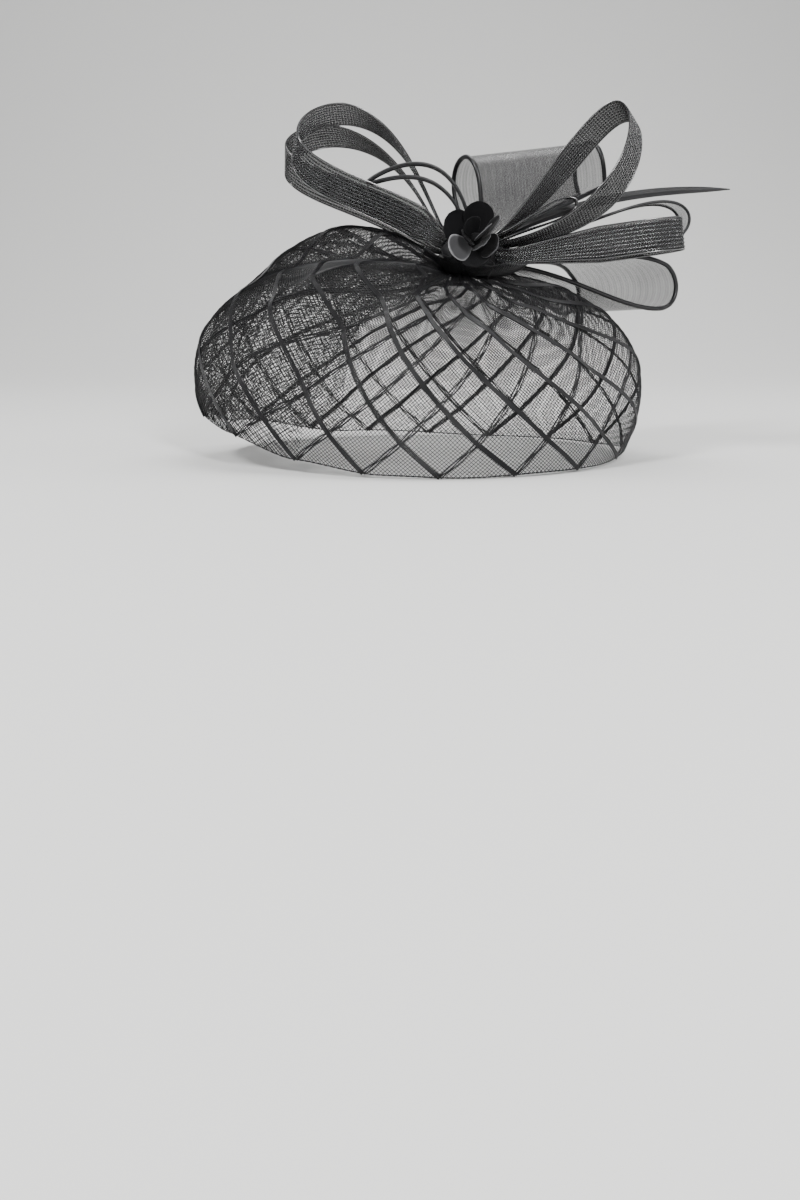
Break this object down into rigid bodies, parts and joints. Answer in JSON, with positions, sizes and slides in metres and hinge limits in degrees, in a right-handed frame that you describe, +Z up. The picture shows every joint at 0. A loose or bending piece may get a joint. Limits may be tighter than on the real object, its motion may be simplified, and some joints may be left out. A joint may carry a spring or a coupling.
{
  "type": "fascinator",
  "caption": "Fascinator with a gathered window-pane net cap, looped woven ribbons, a slim quill and a cloth flower, pinned at the crown by a hidden clip.",
  "frame": {"origin": "the underside of the hair clip, where it sits on the wearer's crown", "axes": "+Z up from the crown, -X toward the wearer's brow, -Y toward the wearer's left side"},
  "size_m": [0.2674, 0.1689, 0.1719],
  "materials": {
    "net": "stiff black net with darker window-pane bands",
    "ribbon": "glossy braided black ribbon",
    "tie": "bound black thread and net",
    "petal": "black velvet",
    "quill": "satin black quill",
    "clip": "black enamel"
  },
  "bodies": {
    "root": {"veil": "net", "hair_clip": "clip", "centre_tie": "tie", "loop_left_front": "ribbon", "loop_left_back": "ribbon", "loop_left_thin": "ribbon", "loop_centre_wide": "ribbon", "loop_right_upper": "ribbon", "loop_right_curl": "ribbon", "loop_right_middle": "ribbon", "loop_right_thin": "ribbon", "loop_right_wide": "ribbon", "quill": "quill", "petal_1": "petal", "petal_2": "petal", "petal_3": "petal", "petal_4": "petal", "petal_5": "petal", "petal_6": "petal", "petal_7": "petal", "petal_8": "petal", "petal_9": "petal", "petal_10": "petal", "flower_bud": "petal"}
  },
  "joints": []
}
